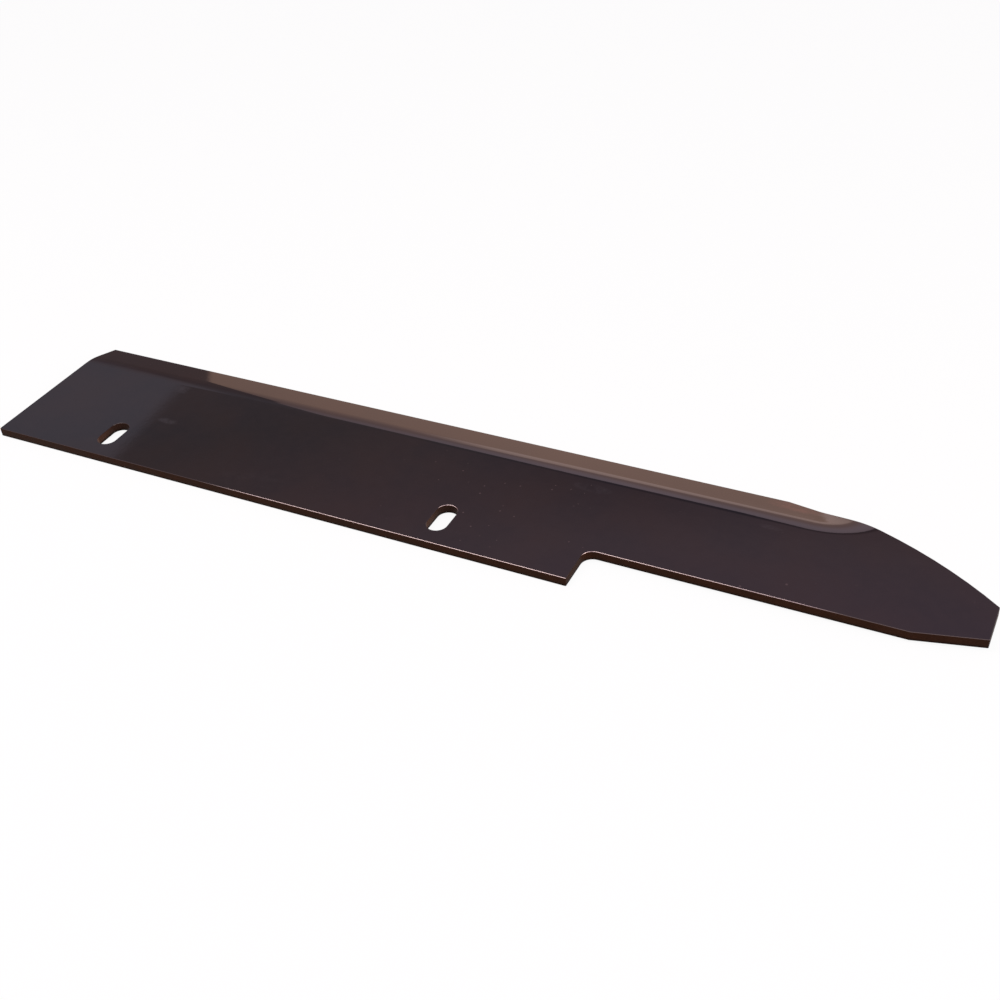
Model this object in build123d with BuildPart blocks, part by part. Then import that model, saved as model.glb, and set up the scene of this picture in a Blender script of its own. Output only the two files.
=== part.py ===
from build123d import *
import os
from math import cos, radians, sin, tan

# Mower deck plate: one strip of steel plate with a stepped front edge, two bolt slots, a shallow
# fold along the far edge that runs out before the nose, and softened edges.
# The origin is the centre of the outer bolt slot on the mating face (the underside of the flat).
# X runs along the plate towards the nose, Y across it towards the fold, Z up out of the mating face.

# Sheet and outline, in millimetres, measured from the square end and from the front edge
sheet_thickness = 5.0
overall_length = 535.0
lip_length = 350.0  # the part of the front edge before the step
step_depth = 23.0
step_corner_radius = 6.0

# Nose: its front corner is cut back, its end is square and its far side is a long taper
nose_width = 22.5
nose_cut_length = 32.0
nose_cut_rise = 7.5

# Fold along the far edge
fold_line = 74.5  # front edge to the start of the fold
fold_inner_radius = 35.0
fold_angle = 15.0
flange_flat = 15.8  # flat width of the flange, past the fold

# Run-out of the fold towards the nose
runout_start = 442.0  # square end to where the fold begins to curl round
runout_radius = 25.0  # of the fold line, seen from above, across the plate
runout_stretch = 1.5  # how much longer the run-out is along the plate than across it
flange_cut_start = 426.0  # square end to the kink in the outer edge
flange_cut_angle = 12.0
flange_cut_length = 16.0

# Bolt slots, which run across the plate
slot_width = 11.0
slot_length = 21.0
slot_spacing = 208.0
slot_from_end = 66.0  # square end to the outer slot's centre
slot_from_front = 19.5

# Softened edges
edge_round = 0.3
corner_round = 0.5

# Places that follow from the sizes above
end_x = -slot_from_end
front_y = -slot_from_front
step_x = end_x + lip_length
step_y = front_y + step_depth
nose_x = end_x + overall_length
nose_front_y = step_y + nose_cut_rise
fold_outer_radius = fold_inner_radius + sheet_thickness
flange_reach = fold_outer_radius * sin(radians(fold_angle)) + flange_flat * cos(radians(fold_angle))
outer_y = front_y + fold_line + flange_reach
runout_x = end_x + runout_start
runout_y = front_y + fold_line + runout_radius


def arc_fold(start, radius):
    """The fold as a true arc, for the straight strip."""
    return JernArc(start, (1, 0), radius, -fold_angle)


def bezier_fold(start, radius):
    """The same fold as a Bezier curve, which can be turned about an axis inside its own radius."""
    arc = JernArc(start, (1, 0), radius, -fold_angle, mode=Mode.PRIVATE)
    handle = 4 / 3 * tan(radians(fold_angle) / 4) * radius
    return Bezier(arc @ 0, arc @ 0 + (arc % 0) * handle, arc @ 1 - (arc % 1) * handle, arc @ 1)


def section_edges(fold_curve, flange_length):
    """Edges of the section across the sheet: flat, fold and flange, of one thickness throughout."""
    with BuildLine() as section:
        top_flat = Line((front_y, sheet_thickness), (front_y + fold_line, sheet_thickness))
        top_fold = fold_curve(top_flat @ 1, fold_outer_radius)
        top_flange = PolarLine(top_fold @ 1, flange_length, direction=top_fold % 1)
        low_flat = Line((front_y, 0), (front_y + fold_line, 0))
        low_fold = fold_curve(low_flat @ 1, fold_inner_radius)
        low_flange = PolarLine(low_fold @ 1, flange_length, direction=low_fold % 1)
        Line(top_flat @ 0, low_flat @ 0)
        Line(top_flange @ 1, low_flange @ 1)
    return section.edges()


def rim_edges(faces):
    """Edges where the sheet's upper and lower faces end at a cut edge of the sheet."""
    rims = ShapeList()
    for side in (1, -1):
        sheet_faces = faces.filter_by(lambda face: side * face.normal_at().Z > 0.5)
        edges = sheet_faces.edges()
        rims += [edge for edge in edges if sum(edge.is_same(other) for other in edges) == 1]
    return rims


strip_edges = section_edges(arc_fold, flange_flat)
runout_edges = section_edges(bezier_fold, runout_radius)

# Outline seen from above. Up to the kink its far side stands clear of the flange,
# whose own edge ends the sheet there.
with BuildSketch(Plane.XY.offset(-flange_reach)) as outline:
    with BuildLine():
        front = Polyline(
            (end_x, outer_y + flange_cut_length),
            (end_x, front_y),
            (step_x, front_y),
            (step_x, step_y),
            (nose_x - nose_cut_length, step_y),
            (nose_x, nose_front_y),
            (nose_x, nose_front_y + nose_width),
        )
        kink = (end_x + flange_cut_start, outer_y)
        flange_cut = PolarLine(kink, flange_cut_length, -flange_cut_angle)
        TangentArc(flange_cut @ 1, front @ 1, tangent=flange_cut % 1)
        clear_of_flange = PolarLine(kink, flange_cut_length, 180 - flange_cut_angle)
        Line(clear_of_flange @ 1, front @ 0)
    make_face()
    fillet(outline.vertices().sort_by_distance((step_x, step_y))[0], step_corner_radius)
    for corner in (
        (end_x, front_y),
        (step_x, front_y),
        (nose_x, nose_front_y),
        (nose_x, nose_front_y + nose_width),
    ):
        fillet(outline.vertices().sort_by_distance(corner)[0], corner_round)

# Run-out and flat nose, built from X = 0 and then stretched along the plate
with BuildPart() as nose:
    # The same section turned about an upright axis near the outer edge
    with BuildSketch(Plane.YZ):
        make_face(runout_edges)
        with Locations((runout_y, 0)):
            Rectangle(
                2 * runout_radius,
                4 * runout_radius,
                align=(Align.MAX, Align.CENTER),
                mode=Mode.INTERSECT,
            )
    revolve(axis=Axis((0, runout_y, 0), (0, 0, 1)), revolution_arc=90)

    # Flat sheet of the nose, outside the run-out
    with BuildSketch():
        with Locations((0, front_y)):
            Rectangle(
                (nose_x - runout_x) / runout_stretch,
                fold_line + runout_radius,
                align=Align.MIN,
            )
        with Locations((0, runout_y)):
            Circle(runout_radius, mode=Mode.SUBTRACT)
    extrude(amount=sheet_thickness)

    scale(by=(runout_stretch, 1, 1))

with BuildPart() as deck_plate:
    # Folded strip from the square end to the run-out, then the nose
    with BuildSketch(Plane.YZ.offset(end_x)):
        make_face(strip_edges)
    extrude(amount=runout_start)
    with Locations((runout_x, 0, 0)):
        add(nose.part)

    # Trimmed to the outline
    extrude(outline.sketch, amount=2 * flange_reach, mode=Mode.INTERSECT)

    # Bolt slots
    with BuildSketch():
        with Locations((0, 0), (slot_spacing, 0)):
            SlotOverall(slot_length, slot_width, rotation=90)
    extrude(amount=sheet_thickness, mode=Mode.SUBTRACT)

    # Far corner of the square end, then the rims of both faces and of the slots
    fillet(deck_plate.edges().filter_by_position(Axis.X, end_x, end_x).sort_by(Axis.Y)[-1], corner_round)
    fillet(rim_edges(deck_plate.faces()), edge_round)

os.makedirs("parts", exist_ok=True)
deck_plate.part.label = "deck_plate"
export_step(deck_plate.part, "parts/deck_plate.step")
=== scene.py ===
# %% [markdown]
# # Mower deck plate
# A strip of 5 mm steel plate, folded along its far edge and dipped in a glossy brown-black coat.
# The solid comes from CAD and is right to a fraction of a millimetre, so this lesson is about
# the finish: a camera, a small studio, smooth shading, and a coat that shows the room like a
# dark mirror. Lengths are in metres. X runs along the plate towards its nose, Y across it
# towards the fold.

# %% Load the plate
import bmesh
import bpy
from math import asin, degrees, hypot, pi, radians, sin, tan
from mathutils import Matrix, Vector


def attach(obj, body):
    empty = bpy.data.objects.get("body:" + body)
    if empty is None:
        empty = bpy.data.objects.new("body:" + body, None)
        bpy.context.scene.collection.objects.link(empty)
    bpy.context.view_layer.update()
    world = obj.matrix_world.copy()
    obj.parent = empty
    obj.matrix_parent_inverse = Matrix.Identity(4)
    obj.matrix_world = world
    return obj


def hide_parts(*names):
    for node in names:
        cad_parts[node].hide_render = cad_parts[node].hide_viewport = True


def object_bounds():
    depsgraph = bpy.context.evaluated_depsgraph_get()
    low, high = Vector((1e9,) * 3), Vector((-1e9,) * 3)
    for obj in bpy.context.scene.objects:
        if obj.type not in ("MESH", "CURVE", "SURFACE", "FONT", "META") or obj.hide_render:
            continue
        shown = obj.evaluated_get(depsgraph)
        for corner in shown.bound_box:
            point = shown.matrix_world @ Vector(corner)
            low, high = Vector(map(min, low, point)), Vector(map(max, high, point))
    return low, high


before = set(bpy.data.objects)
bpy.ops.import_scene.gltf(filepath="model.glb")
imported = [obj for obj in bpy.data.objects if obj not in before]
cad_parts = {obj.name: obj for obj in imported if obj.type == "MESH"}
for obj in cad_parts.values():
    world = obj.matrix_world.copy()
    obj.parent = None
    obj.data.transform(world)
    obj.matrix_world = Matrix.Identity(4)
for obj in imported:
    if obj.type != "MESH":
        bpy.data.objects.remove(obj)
cad_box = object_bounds()
cad_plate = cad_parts["deck_plate"]
print("plate from", [round(v, 4) for v in cad_box[0]], "to", [round(v, 4) for v in cad_box[1]])

# %% [markdown]
# ## Camera
# The view was worked out from the plate's own edges: the long edges, the square end and the
# two slots fix where the camera stood. A camera can be turned with angles, but three unit
# vectors (to the right, down the picture and into it) say the same with no guessing about the
# order of the angles.

# %% Camera
camera_place = Vector((0.49865, -0.45504, 0.42052))
view_right = Vector((0.893327, 0.444044, -0.069227))
view_down = Vector((0.219803, -0.566064, -0.794518))
view_ahead = view_right.cross(view_down)

camera_data = bpy.data.cameras.new("camera")
camera_data.sensor_width = 36
camera_data.lens = 49.42
camera_data.clip_start = 0.01
camera = bpy.data.objects.new("camera", camera_data)
camera.matrix_world = Matrix((view_right, -view_down, -view_ahead)).transposed().to_4x4()
camera.location = camera_place
bpy.context.scene.collection.objects.link(camera)
bpy.context.scene.camera = camera
bpy.context.scene.view_settings.view_transform = "Standard"
print("camera looks down by", round(degrees(asin(-view_ahead.z)), 1), "degrees")

# %% [markdown]
# ## Wires
# Materials and the room are node trees. Writing `1 - mask` is easier to read than adding a
# Math node by hand, so a small class stands for a node's output and turns arithmetic into
# nodes. Every other node comes from one method: its settings first, then its sockets.

# %% Wires
def opaque(value):
    """A plain colour gets full alpha; anything else stays as it is."""
    return (*value, 1.0) if isinstance(value, tuple) and len(value) == 3 else value


class Wire:
    """An output in a node tree that can be used in plain arithmetic."""

    def __init__(self, socket):
        self.socket = socket
        self.tree = socket.id_data

    def node(self, kind, settings, sockets, out=0):
        """A new node in the same tree; its output, or the node itself where it has none."""
        made = self.tree.nodes.new(kind)
        for name, value in settings.items():
            if name == "stops":
                stops = made.color_ramp.elements
                while len(stops) < len(value):
                    stops.new(1.0)
                for stop, (place, colour) in zip(stops, value):
                    stop.position = place
                    stop.color = opaque(colour)
            else:
                setattr(made, name, value)
        for name, value in sockets.items():
            if isinstance(value, Wire):
                self.tree.links.new(value.socket, made.inputs[name])
            else:
                made.inputs[name].default_value = value
        return Wire(made.outputs[out]) if made.outputs else made

    def math(self, operation, first, second=0.0):
        return self.node("ShaderNodeMath", {"operation": operation}, {0: first, 1: second})

    def __add__(self, other):
        return self.math("ADD", self, other)

    def __sub__(self, other):
        return self.math("SUBTRACT", self, other)

    def __rsub__(self, other):
        return self.math("SUBTRACT", other, self)

    def __mul__(self, other):
        return self.math("MULTIPLY", self, other)

    __radd__ = __add__
    __rmul__ = __mul__

    def split(self):
        """The three numbers of a vector."""
        first = self.node("ShaderNodeSeparateXYZ", {}, {"Vector": self})
        return [Wire(output) for output in first.socket.node.outputs]

    def smooth(self, low, high):
        """0 below low, 1 above high, with a soft step between."""
        return self.node(
            "ShaderNodeMapRange",
            {"interpolation_type": "SMOOTHSTEP"},
            {"Value": self, "From Min": low, "From Max": high},
        )

    def clamp(self, low, high):
        """Never below low or above high."""
        return self.node("ShaderNodeClamp", {}, {"Value": self, "Min": low, "Max": high})

    def mix(self, first, second):
        """A colour: first where this wire is 0, second where it is 1."""
        sockets = {0: self, 6: opaque(first), 7: opaque(second)}
        return self.node("ShaderNodeMix", {"data_type": "RGBA"}, sockets, out=2)

    def ramp(self, stops):
        """A colour read off a ramp by this wire."""
        return self.node("ShaderNodeValToRGB", {"stops": stops}, {"Fac": self})

    def scaled(self, factor):
        """This colour or vector, so many times as large."""
        return self.node("ShaderNodeVectorMath", {"operation": "SCALE"}, {0: self, "Scale": factor})


def fresh_tree(owner):
    """An empty node tree for a material or the world."""
    owner.use_nodes = True
    owner.node_tree.nodes.clear()
    return owner.node_tree


def source(tree, kind, output):
    """A wire from a node that takes nothing in."""
    return Wire(tree.nodes.new(kind).outputs[output])


print("wires ready")

# %% [markdown]
# ## Floor
# The plate lies on the lower edge of its fold and on its front edge, which tips it by almost
# 3 degrees. It could be turned to lie like that on a level floor, but a piece keeps the place
# that CAD gave it. So the plate keeps still and the floor is tipped instead: one large square,
# a hair below the two edges that rest on it.

# %% Floor
floor_front = Vector((0.0, -0.0192, 0.0))
floor_back = Vector((0.0, 0.0792, -0.00521))
floor_along = (floor_back - floor_front).normalized()
floor_up = Vector((1, 0, 0)).cross(floor_along)
floor_half = 4.0
floor_gap = 0.0002

floor_mesh = bpy.data.meshes.new("floor")
shape = bmesh.new()
bmesh.ops.create_grid(shape, x_segments=1, y_segments=1, size=floor_half)
tip = Matrix((Vector((1, 0, 0)), floor_along, floor_up)).transposed()
bmesh.ops.rotate(shape, cent=(0, 0, 0), matrix=tip, verts=shape.verts)
bmesh.ops.translate(shape, vec=floor_front - floor_up * floor_gap, verts=shape.verts)
shape.to_mesh(floor_mesh)
shape.free()
floor = bpy.data.objects.new("floor", floor_mesh)
bpy.context.scene.collection.objects.link(floor)
print("floor tipped by", round(degrees(asin(floor_up.y)), 2), "degrees")

# %% [markdown]
# ## White card
# The floor is plain white card. More light would make it white too, but it would also wash out
# the plate. So the camera, and whatever mirrors the card, sees it mostly as even white. What is
# left is ordinary shading, which keeps the soft shadow under the plate.

# %% White card
even_white = 0.93
card_colour = (0.9, 0.9, 0.9)

card = bpy.data.materials.new("white_card")
tree = fresh_tree(card)
camera_ray = source(tree, "ShaderNodeLightPath", "Is Camera Ray")
glossy_ray = Wire(camera_ray.socket.node.outputs["Is Glossy Ray"])
clear_ray = Wire(camera_ray.socket.node.outputs["Is Transmission Ray"])
seen = (camera_ray + glossy_ray + clear_ray).clamp(0, 1) * even_white
shaded = seen.node("ShaderNodeBsdfDiffuse", {}, {"Color": opaque(card_colour)})
white = seen.node("ShaderNodeEmission", {}, {"Color": (1, 1, 1, 1), "Strength": 1.0})
both = seen.node("ShaderNodeMixShader", {}, {0: seen, 1: shaded, 2: white})
both.node("ShaderNodeOutputMaterial", {}, {"Surface": both})
floor_mesh.materials.append(card)
print("card is", round(100 * even_white), "percent even white")

# %% [markdown]
# ## Room
# A glossy dark coat gets most of its look from what it mirrors. The flat mirrors the room
# about 35 degrees up, the flange mirrors it just above the floor, and the fold between them
# sweeps through everything in between. The room could be built from boards, but a world that
# reads the height and the bearing of each ray is simpler and has no edges to get in a
# camera's way. Both are in degrees: up from level, and round from +Y towards +X.

# %% Room
room_top = 60.0

room = bpy.data.worlds.new("room")
bpy.context.scene.world = room
tree = fresh_tree(room)
ray = source(tree, "ShaderNodeTexCoord", "Generated")
ray_x, ray_y, ray_z = ray.split()
up = ray.math("ARCSINE", ray_z) * degrees(1)
bearing = ray.math("ARCTAN2", ray_x, ray_y) * degrees(1)
share = up * (1 / room_top)


def at(height, *colour):
    """A ramp stop at so many degrees up."""
    return height / room_top, colour


def sloping(value, slope, there):
    """A number that is value at the bearing there and grows by slope with each degree past it."""
    return (bearing - there) * slope + value


print("room is read up to", room_top, "degrees")

# %% [markdown]
# ## Wall and rail
# The flange and the fold mirror a pale warm wall, which is brighter towards the nose. A light
# rail on it, lower towards the nose, makes the pale stripe along the fold. The wall is a ramp
# over the height. The rail could be a lamp of its own, but a soft band that is mixed into the
# wall is easier to place. Each pair of numbers gives the two sides of one of its soft edges.

# %% Wall and rail
rail_height = 12.8
rail_lower_edge, rail_upper_edge = (-5.0, -1.5), (3.5, 6.5)
rail_foot, rail_start = (8.35, 9.2), (-29.0, -23.5)
rail_colour = (1.54, 1.07, 0.97)

wall = share.ramp([
    at(9, 0.84, 0.53, 0.44),
    at(19, 0.73, 0.48, 0.47),
    at(21, 0.74, 0.50, 0.51),
    at(25, 0.90, 0.66, 0.74),
    at(29, 0.98, 0.76, 0.90),
])
wall = wall.scaled(sloping(1, slope=0.025, there=-27).clamp(0.75, 1.16))
off_rail = up - sloping(rail_height, slope=-0.35, there=-21)
rail = off_rail.smooth(*rail_lower_edge) * (1 - off_rail.smooth(*rail_upper_edge))
rail = rail * up.smooth(*rail_foot) * bearing.smooth(*rail_start)
wall = rail.mix(wall, rail_colour)
print("wall with a rail", rail_height, "degrees up")

# %% [markdown]
# ## Doorway
# Towards the square end the mirrored wall stops at a dark upright edge, and past it the plate
# looks dim and cool. A dark board in front of the wall could do that, but a doorway needs only
# another ramp of colours between two jambs. The right jamb leans a little and is the one that
# shows on the flange, so it is sharp. Low down the doorway is lighter on its far side, and high
# up it is darker on its near side.

# %% Doorway
left_jamb, left_blur = -75.0, 1.0
right_jamb, right_lean, right_foot, right_blur = -36.08, 0.06, 8.0, 0.15

doorway = share.ramp([
    at(12, 0.17, 0.12, 0.13),
    at(19, 0.19, 0.14, 0.17),
    at(24, 0.33, 0.28, 0.34),
    at(31, 0.42, 0.395, 0.50),
])
high = up.smooth(16, 24)
far_side = sloping(0, slope=-0.08, there=-40).clamp(0, 0.35)
near_side = bearing.smooth(-42.0, -39.5) * 0.3
doorway = doorway.scaled(1 + far_side * (1 - high) - near_side * high)

past_right = bearing - ((up - right_foot) * right_lean + right_jamb - up.smooth(20, 23))
in_doorway = bearing.smooth(left_jamb - left_blur, left_jamb + left_blur)
in_doorway = in_doorway * (1 - past_right.smooth(-right_blur, right_blur))
print("doorway from bearing", left_jamb, "to", right_jamb)

# %% [markdown]
# ## Ceiling
# Most of the flat mirrors a dim ceiling, which is darkest just over the wall and gets lighter
# higher up. A patch of shade over the wall makes the flat darker along the fold. The wall ends
# about 30 degrees up, higher towards the nose, and the doorway's head slopes, which gives the
# cool part of the flat its slanting border.

# %% Ceiling
shade_colour = (0.12, 0.11, 0.18)

ceiling = share.ramp([
    at(33, 0.23, 0.20, 0.24),
    at(35, 0.33, 0.25, 0.30),
    at(37, 0.42, 0.30, 0.37),
    at(39, 0.52, 0.38, 0.48),
    at(43, 0.61, 0.44, 0.62),
    at(55, 0.50, 0.42, 0.54),
])
shade = bearing.smooth(-34, -20) * (1 - up.smooth(33.5, 39.8))
ceiling = shade.mix(ceiling, shade_colour)

wall_end = sloping(29.1, slope=0.3, there=-32).clamp(27, 31.6)
wall_end = wall_end + sloping(0, slope=1, there=-15.5).clamp(0, 2.6)
doorway_end = sloping(31.5, slope=-0.56, there=-46).clamp(25, 36)
low_end = wall_end * (1 - in_doorway) + doorway_end * in_doorway
blur = 0.65 - in_doorway * 0.3
above = (up - low_end).smooth(0 - blur, blur)
print("ceiling over wall and doorway")

# %% [markdown]
# ## Room put together
# The three parts are mixed into one colour for each ray. A backdrop behind the plate would
# be mirrored by it, so there is none: camera rays see plain white, and all others see the room.

# %% Room put together
room_colour = above.mix(in_doorway.mix(wall, doorway), ceiling)
camera_ray = source(tree, "ShaderNodeLightPath", "Is Camera Ray")
dim = ray.node("ShaderNodeBackground", {}, {"Color": room_colour, "Strength": 1.0})
plain = ray.node("ShaderNodeBackground", {}, {"Color": (1, 1, 1, 1), "Strength": 1.0})
both = ray.node("ShaderNodeMixShader", {}, {0: camera_ray, 1: dim, 2: plain})
both.node("ShaderNodeOutputWorld", {}, {"Surface": both})
print("room with", len(tree.nodes), "nodes")

# %% [markdown]
# ## Softboxes
# One large softbox overhead, a little in front of the plate, gives the soft even light. Its
# place also decides where the rounded front rim catches a bright line. A second one stands
# off the nose and lights the cut edges that face it, such as the wall of the step. An area
# lamp is set by its power, so the power is worked out from how bright its face should be. With
# the room, they light the flat at about the level where a colour renders as it is written.

# %% Softboxes
def softbox(name, place, target, width, depth, brightness, colour):
    """A lamp that shines from place towards target, with a face of that brightness."""
    data = bpy.data.lights.new(name, "AREA")
    data.shape = "RECTANGLE"
    data.size = width
    data.size_y = depth
    data.energy = brightness * pi * width * depth
    data.color = colour
    lamp = bpy.data.objects.new(name, data)
    lamp.location = place
    lamp.rotation_euler = (Vector(target) - Vector(place)).to_track_quat("-Z", "Y").to_euler()
    lamp.visible_camera = False
    bpy.context.scene.collection.objects.link(lamp)
    print(name, round(data.energy, 2), "W")


softbox(
    "overhead_softbox",
    place=(-0.2, -0.25, 1.0),
    target=(-0.2, -0.25, 0.0),
    width=0.8,
    depth=0.7,
    brightness=3.5,
    colour=(1.0, 0.92, 0.88),
)
softbox(
    "side_softbox",
    place=(1.25, -0.1, 0.65),
    target=(0.15, 0.03, 0.0),
    width=0.7,
    depth=0.7,
    brightness=4.5,
    colour=(1.0, 0.9, 0.84),
)

# %% [markdown]
# ## True shape
# CAD hands over loose patches of triangles, and each patch has averaged its own normals. On
# a matt part nobody would notice, but this coat is a mirror, and it would show a crease where
# the flat meets the fold. A bevel or a finer mesh would hide it, but the true shape is known: a
# flat, a 15 degree fold that starts at the fold line, and a flange. Towards the nose the fold
# line turns round an upright axis, on a circle that is stretched along the plate. So
# the height and the normal at any place can be worked out.

# %% True shape
sheet = 0.005
fold_line = 0.055
fold_angle = radians(15)
outer_radius, inner_radius = 0.040, 0.035
runout_x, runout_y, runout_radius = 0.376, 0.080, 0.025
runout_stretch = 1.5


def fold_depth(place):
    """How far a point lies past the fold line, and how fast that grows along X and Y."""
    if place.x <= runout_x:
        return place.y - fold_line, Vector((0, 1, 0))
    along = (place.x - runout_x) / runout_stretch
    across = place.y - runout_y
    from_axis = hypot(along, across)
    growth = Vector((-along / runout_stretch, -across, 0)) / from_axis
    return runout_radius - from_axis, growth


def true_normal(place, side):
    """Normal of the sheet's upper (side 1) or lower (side -1) face at a place on it."""
    past, growth = fold_depth(place)
    radius = outer_radius if side > 0 else inner_radius
    lean = asin(min(max(past / radius, 0.0), sin(fold_angle)))
    return (growth * tan(lean) + Vector((0, 0, 1))).normalized() * side


def true_height(place, side):
    """Height of the sheet's upper or lower face at the point's place."""
    past, _ = fold_depth(place)
    radius = outer_radius if side > 0 else inner_radius
    level = sheet if side > 0 else 0.0
    bend = radius * sin(fold_angle)
    curve = min(max(past, 0.0), bend)
    drop = radius - (radius**2 - curve**2) ** 0.5
    return level - drop - max(past - bend, 0.0) * tan(fold_angle)


far_edge = Vector((0.0, cad_box[1][1], 0.0))
print("far edge lies", round(1000 * (sheet - true_height(far_edge, 1)), 2), "mm below the flat")

# %% [markdown]
# ## Merged copy
# The CAD mesh itself must not change, so a copy stands for it. Its loose patches are merged
# where their vertices meet, which moves nothing, and every face is shaded smooth. A Weld
# modifier would merge them too, but the normals below need the merged mesh.

# %% Merged copy
merge_distance = 2e-6

coated = bpy.data.objects.new("coated_plate", bpy.data.meshes.new("coated_plate"))
shape = bmesh.new()
shape.from_mesh(cad_plate.data)
bmesh.ops.remove_doubles(shape, verts=shape.verts, dist=merge_distance)
for face in shape.faces:
    face.smooth = True
for edge in shape.edges:
    edge.smooth = True
shape.to_mesh(coated.data)
shape.free()
bpy.context.scene.collection.objects.link(coated)
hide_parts("deck_plate")
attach(coated, "root")
print("copy with", len(coated.data.vertices), "vertices")

# %% [markdown]
# ## True normals
# Each triangle that lies on the sheet's upper or lower face gets the normals of the true shape.
# The rounded rims take over those normals where they join a face, so the shading runs on
# without a line. The cut edges keep the normals that Blender works out.

# %% True normals
on_sheet = 2e-6
nearly_level = 0.9

normals = [Vector(corner.vector) for corner in coated.data.corner_normals]
known = {}
for face in coated.data.polygons:
    if abs(face.normal.z) < nearly_level:
        continue
    side = 1 if face.normal.z > 0 else -1
    places = [coated.data.vertices[v].co for v in face.vertices]
    if all(abs(p.z - true_height(p, side)) < on_sheet for p in places):
        for vertex, vertex_place in zip(face.vertices, places):
            known[vertex] = true_normal(vertex_place, side)
for loop in coated.data.loops:
    if loop.vertex_index in known:
        normals[loop.index] = known[loop.vertex_index]
coated.data.normals_split_custom_set(normals)
print(len(known), "of", len(coated.data.vertices), "vertices lie on the sheet's faces")

# %% [markdown]
# ## Thin coat and painted highlight
# Coat draws back from sharp edges. Such places could be painted by hand on a map, but the
# surface's own lean finds them too: the cut edges stand upright, and the rounded rims lie
# between upright and level. The rims that face the front get bare metal as a painted highlight,
# strongest from past the outer slot to just before the nose, where the overhead softbox is mirrored.

# %% Thin coat and painted highlight
highlight_at_end, highlight_at_nose = 0.06, 0.14

coat = bpy.data.materials.new("brown_black_coat")
tree = fresh_tree(coat)
place = source(tree, "ShaderNodeTexCoord", "Object")
along, across, height = place.split()
_, lean_y, lean_z = source(tree, "ShaderNodeNewGeometry", "Normal").split()
cut_edge = (1 - lean_z.smooth(0.2, 0.4)) * (1 - (0 - lean_z).smooth(0.85, 0.95))
rim = lean_z.smooth(0.3, 0.5) * (1 - lean_z.smooth(0.95, 0.99))
front_rim = rim * (0 - lean_y).smooth(0.1, 0.3)
highlight_reach = along.smooth(0.07, 0.115) * (1 - highlight_at_end) + highlight_at_end
highlight_reach = highlight_reach - along.smooth(0.385, 0.41) * (1 - highlight_at_nose)
# painted highlight: bare metal on the front rims, only along the stretch where the overhead softbox
# is mirrored
painted_highlight = front_rim * highlight_reach
print("front rims worn from", highlight_at_end, "at the square end to", highlight_at_nose, "at the nose")

# %% [markdown]
# ## Clouds and rubbed patches
# The coat is not quite even. It has faint warm and cool clouds, a fine mottle, and a few
# places where something rubbed it. Noise on the plate's own coordinates makes the clouds and
# the mottle. The clearest rubbed patches are ovals that fade out, each put where it is seen and
# broken up by the mottle.

# %% Clouds and rubbed patches
def noise(scale, detail=3.0, roughness=0.5, stretch=(1, 1, 1)):
    """Soft noise between 0 and 1, so many blobs to the metre."""
    spread = place.node("ShaderNodeMapping", {}, {"Vector": place, "Scale": stretch})
    sockets = {"Vector": spread, "Scale": scale, "Detail": detail, "Roughness": roughness}
    return place.node("ShaderNodeTexNoise", {}, sockets)


def patch(x, y, half_length, half_width):
    """An oval that is 1 in the middle and fades to 0 at its border."""
    off_x = (along - x) * (1 / half_length)
    off_y = (across - y) * (1 / half_width)
    return 1 - (off_x * off_x + off_y * off_y).smooth(0.1, 1.0)


rubbed_patches = (
    (0.022, 0.021, 0.008, 0.003),
    (0.010, 0.051, 0.009, 0.004),
    (0.268, 0.049, 0.012, 0.004),
    (0.360, 0.051, 0.007, 0.002),
    (0.383, 0.0745, 0.009, 0.005),
)
clouds = noise(22.0, detail=4.0).smooth(0.32, 0.68)
mottle = noise(160.0, detail=4.0, roughness=0.65).smooth(0.3, 0.7)
rubbed = noise(30.0, stretch=(0.5, 1.6, 1)).smooth(0.64, 0.80) * 0.4
for x, y, half_length, half_width in rubbed_patches:
    rubbed = rubbed + patch(x, y, half_length, half_width)
rubbed = rubbed.clamp(0, 1) * mottle
print(len(rubbed_patches), "rubbed patches")

# %% [markdown]
# ## Dust
# Small pale specks lie on the flat, most of them round the inner slot. Real specks would be
# hundreds of tiny pieces, so they are dots in the coat. A Voronoi texture has one point in each
# cell. Its cell colour picks which cells have a speck and how large it is, in shares of a cell.
# The two clearest specks, near the front edge past the step, have places of their own.

# %% Dust
dots_per_metre = 120.0
speck_core, speck_border, speck_growth = 0.018, 0.045, 0.03
thin_dust = 0.15
single_speck = 0.0008
single_specks = ((0.360, 0.005), (0.379, 0.014))

dots = place.node(
    "ShaderNodeTexVoronoi",
    {"voronoi_dimensions": "2D"},
    {"Vector": place, "Scale": dots_per_metre, "Randomness": 1.0},
)
dot_pick, dot_size, _ = Wire(dots.socket.node.outputs["Color"]).split()
dusty = thin_dust + patch(0.235, 0.025, 0.09, 0.05)
specks = 1 - (dots - dot_size * speck_growth).smooth(speck_core, speck_border)
specks = specks * dot_pick.smooth(0.7, 1.0) * dusty
for x, y in single_specks:
    specks = specks + patch(x, y, single_speck, single_speck)
print("cells for dust", round(1000 / dots_per_metre, 1), "mm wide")

# %% [markdown]
# ## Face coat
# Under its gloss the coat is nearly black, with a little brown in it. The marks are laid over
# that colour one by one. Near the kink of the flange a warm patch makes it redder. The front
# rims get pale bare metal as a painted highlight. A bump of a few thousandths of a millimetre
# gives the gloss the slight unrest of a dipped coat. A clear coat over a dark base would look
# the same, but one shader with a low roughness is simpler.

# %% Face coat
cool_cloud, warm_cloud = (0.0074, 0.0058, 0.0054), (0.0124, 0.0074, 0.0052)
mottle_colour = (0.0132, 0.0094, 0.0082)
kink_colour = (0.064, 0.025, 0.020)
rubbed_colour = (0.026, 0.023, 0.023)
dust_colour = (0.048, 0.035, 0.033)
highlight_metal = (0.60, 0.51, 0.48)
peel_depth = 0.000003

# a redder patch near the kink of the flange
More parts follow.
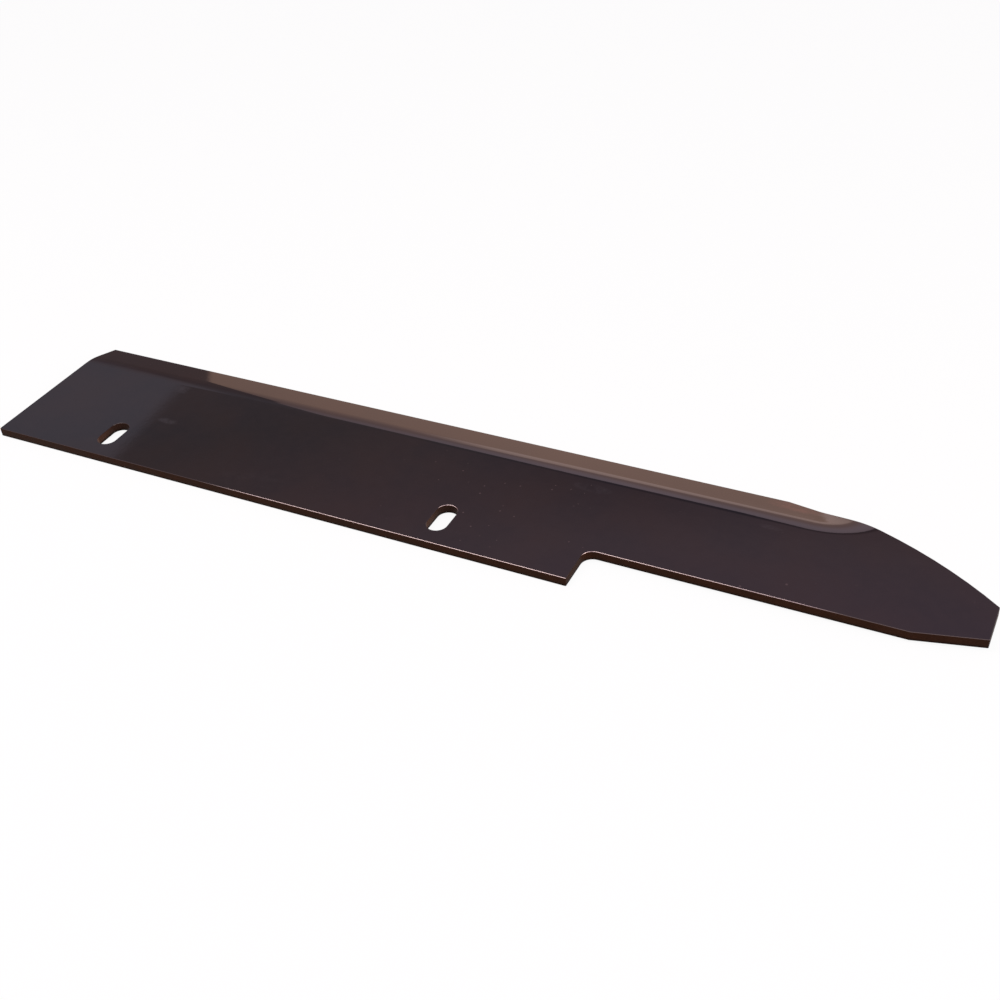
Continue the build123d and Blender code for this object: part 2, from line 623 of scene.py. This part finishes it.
warm_patch_at_kink = patch(0.366, 0.0765, 0.018, 0.007) * mottle
face_colour = clouds.mix(cool_cloud, warm_cloud)
face_colour = (mottle * 0.4).mix(face_colour, mottle_colour)
face_colour = warm_patch_at_kink.mix(face_colour, kink_colour)
face_colour = (rubbed * 0.6).mix(face_colour, rubbed_colour)
face_colour = specks.clamp(0, 1).mix(face_colour, dust_colour)
# painted highlight: the front rims turn to pale bare metal
face_colour = painted_highlight.mix(face_colour, highlight_metal)
face_roughness = 0.03 + rubbed * 0.10 + painted_highlight * 0.3
peel = noise(420.0, detail=2.0) * 0.6 + mottle * 0.4
dent = place.node(
    "ShaderNodeBump",
    {},
    {"Height": peel, "Strength": 1.0, "Distance": peel_depth},
)
face_coat = place.node(
    "ShaderNodeBsdfPrincipled",
    {},
    {
        "Base Color": face_colour,
        "Roughness": face_roughness,
        "Metallic": painted_highlight,
        "Normal": dent,
        "IOR": 1.5,
    },
)
print("face coat ready")

# %% [markdown]
# ## Edge coat
# On the cut edges the coat is thin, so it is browner and hardly shines. It is darker along the
# bottom, as painted shade where the plate stands on the floor. In the slots the walls are
# lighter as painted light, and lightest at their front ends as a painted highlight. The face coat
# with other colours would still mirror the room, so the edges have a dull shader of their own.

# %% Edge coat
edge_dark, edge_light = (0.020, 0.0074, 0.0026), (0.028, 0.0110, 0.0048)
contact_shade_colour = (0.010, 0.0042, 0.0020)
# slot walls: painted light, brightest at their front ends as a painted highlight
slot_front_highlight, slot_side_light, slot_back = (0.13, 0.085, 0.068), (0.064, 0.033, 0.020), (0.030, 0.016, 0.011)
slot_spacing = 0.208
slot_reach = 0.016

near_slot = patch(0.0, 0.0, slot_reach, slot_reach) + patch(slot_spacing, 0.0, slot_reach, slot_reach)
back_half = across.smooth(-0.006, 0.008)
highlit_front_end = 1 - across.smooth(-0.0085, -0.0055)
# painted shade: the cut edges darken in their lowest 2 mm, towards the floor
painted_contact_shade = 1 - height.smooth(0.0004, 0.0020)
# painted light on the slot walls, with a painted highlight at their front ends
slot_painted_light = highlit_front_end.mix(back_half.mix(slot_side_light, slot_back), slot_front_highlight)
edge_colour = near_slot.mix(mottle.mix(edge_dark, edge_light), slot_painted_light)
edge_colour = painted_contact_shade.mix(edge_colour, contact_shade_colour)
edge_coat = place.node(
    "ShaderNodeBsdfPrincipled",
    {},
    {
        "Base Color": edge_colour,
        "Roughness": 0.45 + mottle * 0.15,
        "Specular IOR Level": 0.04,
    },
)
print("edge coat ready")

# %% [markdown]
# ## Coat on the plate
# The two coats could be two materials on two sets of faces, but the border would then follow
# the triangles. Mixed by the lean of the surface, they meet halfway round the rim.

# %% Coat on the plate
surface = place.node("ShaderNodeMixShader", {}, {0: cut_edge, 1: face_coat, 2: edge_coat})
surface.node("ShaderNodeOutputMaterial", {}, {"Surface": surface})
coated.data.materials.clear()
coated.data.materials.append(coat)
print("coat with", len(tree.nodes), "nodes")
